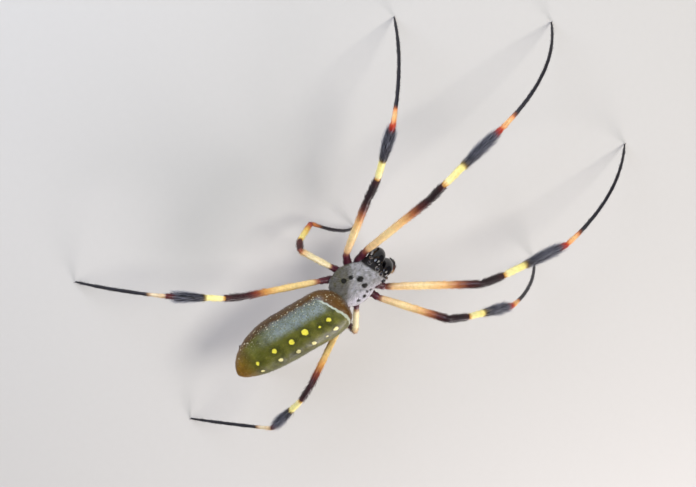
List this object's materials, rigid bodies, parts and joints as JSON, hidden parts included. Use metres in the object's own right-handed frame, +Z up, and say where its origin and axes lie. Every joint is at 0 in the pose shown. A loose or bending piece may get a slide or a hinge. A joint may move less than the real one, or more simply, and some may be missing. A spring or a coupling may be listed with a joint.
{
  "type": "golden silk orb weaver spider",
  "caption": "Golden silk orb weaver, a long-legged spider with hair brushes on its shins, standing still with its legs spread; a life-size display model.",
  "frame": {"origin": "on the floor, under the middle of the leg span's box", "axes": "the head faces -Y, the animal's left side is +X, +Z is up"},
  "size_m": [0.0531, 0.0817, 0.0206],
  "materials": {
    "cephalothorax": "dark olive carapace under short silver-white hair, with bare black spots",
    "abdomen": "smooth olive-green skin with yellow spots above and rows of white dots on rust-brown flanks",
    "spinnerets": "soft dark brown skin",
    "eye": "glossy black lens",
    "jaw": "glossy black, polished",
    "palp": "yellow-brown with a black end",
    "leg_femur": "cream-yellow shell, rusty red and black towards the knee, maroon at the hip",
    "leg_tibia": "black with a yellow band, the brush of stiff black hair round its far half",
    "leg_foot": "thin black shell with an orange-yellow base"
  },
  "bodies": {
    "root": {"abdomen": "abdomen", "cephalothorax": "cephalothorax", "eye_front_middle_left": "eye", "eye_front_middle_right": "eye", "eye_front_side_left": "eye", "eye_front_side_right": "eye", "eye_rear_middle_left": "eye", "eye_rear_middle_right": "eye", "eye_rear_side_left": "eye", "eye_rear_side_right": "eye", "jaw_left": "jaw", "jaw_right": "jaw", "leg_left_1_femur": "leg_femur", "leg_left_1_foot": "leg_foot", "leg_left_1_tibia": "leg_tibia", "leg_left_2_femur": "leg_femur", "leg_left_2_foot": "leg_foot", "leg_left_2_tibia": "leg_tibia", "leg_left_3_femur": "leg_femur", "leg_left_3_foot": "leg_foot", "leg_left_3_tibia": "leg_tibia", "leg_left_4_femur": "leg_femur", "leg_left_4_foot": "leg_foot", "leg_left_4_tibia": "leg_tibia", "leg_right_1_femur": "leg_femur", "leg_right_1_foot": "leg_foot", "leg_right_1_tibia": "leg_tibia", "leg_right_2_femur": "leg_femur", "leg_right_2_foot": "leg_foot", "leg_right_2_tibia": "leg_tibia", "leg_right_3_femur": "leg_femur", "leg_right_3_foot": "leg_foot", "leg_right_3_tibia": "leg_tibia", "leg_right_4_femur": "leg_femur", "leg_right_4_foot": "leg_foot", "leg_right_4_tibia": "leg_tibia", "palp_left": "palp", "palp_right": "palp", "spinnerets": "spinnerets"}
  },
  "joints": []
}
